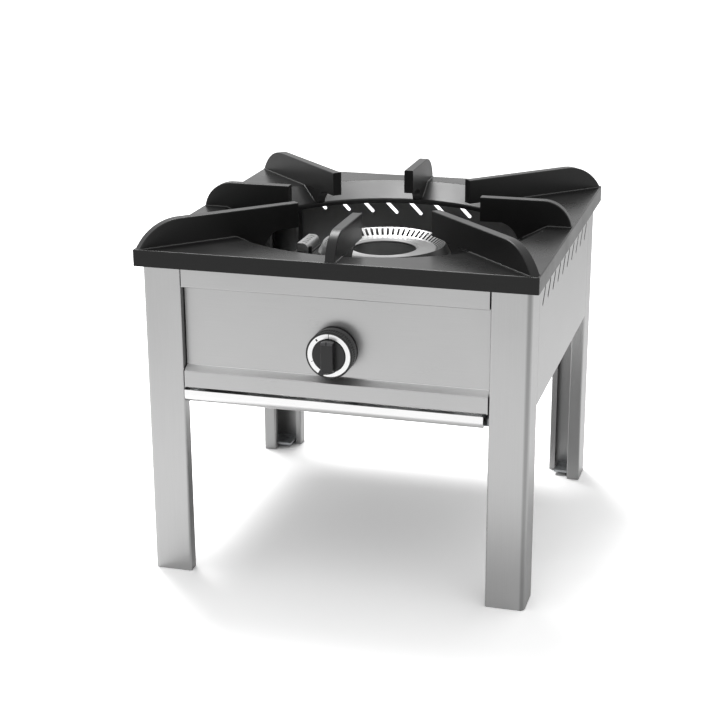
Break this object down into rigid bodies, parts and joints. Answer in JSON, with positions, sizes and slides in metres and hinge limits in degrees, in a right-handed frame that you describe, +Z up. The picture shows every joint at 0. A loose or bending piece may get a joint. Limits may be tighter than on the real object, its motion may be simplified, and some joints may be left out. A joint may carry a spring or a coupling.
{
  "type": "stock pot range",
  "caption": "Low square gas stock pot range: ring burner under a dished black hob with radial pot ribs, on a stainless sheet stand with knob and drip tray.",
  "frame": {"origin": "on the floor, under the burner's centre", "axes": "+X to the right seen from the front, +Y to the back, +Z up; the knob faces -Y"},
  "size_m": [0.6, 0.638, 0.5505],
  "materials": {
    "stainless_sheet": "fine brushed stainless steel",
    "inner_steel": "dull zinc-coated steel",
    "tray_steel": "bright stainless steel",
    "black_castings": "satin black heat-proof enamel",
    "burner_ring_metal": "machined pale metal",
    "burner_iron": "dark cast iron",
    "tap_brass": "turned brass",
    "spindle_steel": "turned steel",
    "gas_pipe_steel": "drawn steel tube",
    "small_pipes": "soft drawn tube",
    "knob_plastic": "satin black phenolic",
    "bezel_plastic": "satin black phenolic with a pale printed scale"
  },
  "bodies": {
    "base": {"air_shutter": "inner_steel", "back_panel": "stainless_sheet", "burner_bar_back": "inner_steel", "burner_bar_front": "inner_steel", "burner_body": "burner_iron", "control_panel": "stainless_sheet", "foot_plate_back_left": "stainless_sheet", "foot_plate_back_right": "stainless_sheet", "foot_plate_front_left": "stainless_sheet", "foot_plate_front_right": "stainless_sheet", "front_rail": "stainless_sheet", "gas_inlet": "tap_brass", "gas_pipe": "gas_pipe_steel", "injector": "tap_brass", "knob_bezel": "bezel_plastic", "leg_back_left": "stainless_sheet", "leg_back_right": "stainless_sheet", "leg_front_left": "stainless_sheet", "leg_front_right": "stainless_sheet", "magnet_unit": "burner_iron", "outlet_pipe": "small_pipes", "pilot_bracket": "inner_steel", "pilot_burner": "burner_iron", "pilot_pipe": "small_pipes", "side_panel_left": "stainless_sheet", "side_panel_right": "stainless_sheet", "tap_body": "tap_brass", "tap_bonnet": "tap_brass", "thermocouple": "spindle_steel", "thermocouple_lead": "small_pipes", "tray_runner_left": "inner_steel", "tray_runner_right": "inner_steel"},
    "hob": {"hob_top": "black_castings", "rib_front": "black_castings", "rib_front_right": "black_castings", "rib_right": "black_castings", "rib_back_right": "black_castings", "rib_back": "black_castings", "rib_back_left": "black_castings", "rib_left": "black_castings", "rib_front_left": "black_castings"},
    "loose_ring": {"burner_ring": "burner_ring_metal"},
    "tray": {"drip_tray": "tray_steel"},
    "tap_cone": {"tap_plug": "tap_brass"},
    "control_knob": {"knob": "knob_plastic", "spindle": "spindle_steel"}
  },
  "joints": [
    {"name": "hob_lift", "type": "slide", "parent": "base", "child": "hob", "axis": [0, 0, 1], "range_m": [0, 0.12]},
    {"name": "burner_ring_lift", "type": "slide", "parent": "base", "child": "loose_ring", "axis": [0, 0, 1], "range_m": [0, 0.1]},
    {"name": "tray_slide", "type": "slide", "parent": "base", "child": "tray", "axis": [0, -1, 0], "range_m": [0, 0.4]},
    {"name": "tap_turn", "type": "hinge", "parent": "base", "child": "tap_cone", "pos_m": [0, -0.25, 0.3755], "axis": [0, -1, 0], "range_deg": [0, 149]},
    {"name": "knob_press", "type": "slide", "parent": "tap_cone", "child": "control_knob", "axis": [0, 1, 0], "range_m": [0, 0.0035], "stiffness_N_per_m": 1500, "springref_m": -0.002}
  ]
}
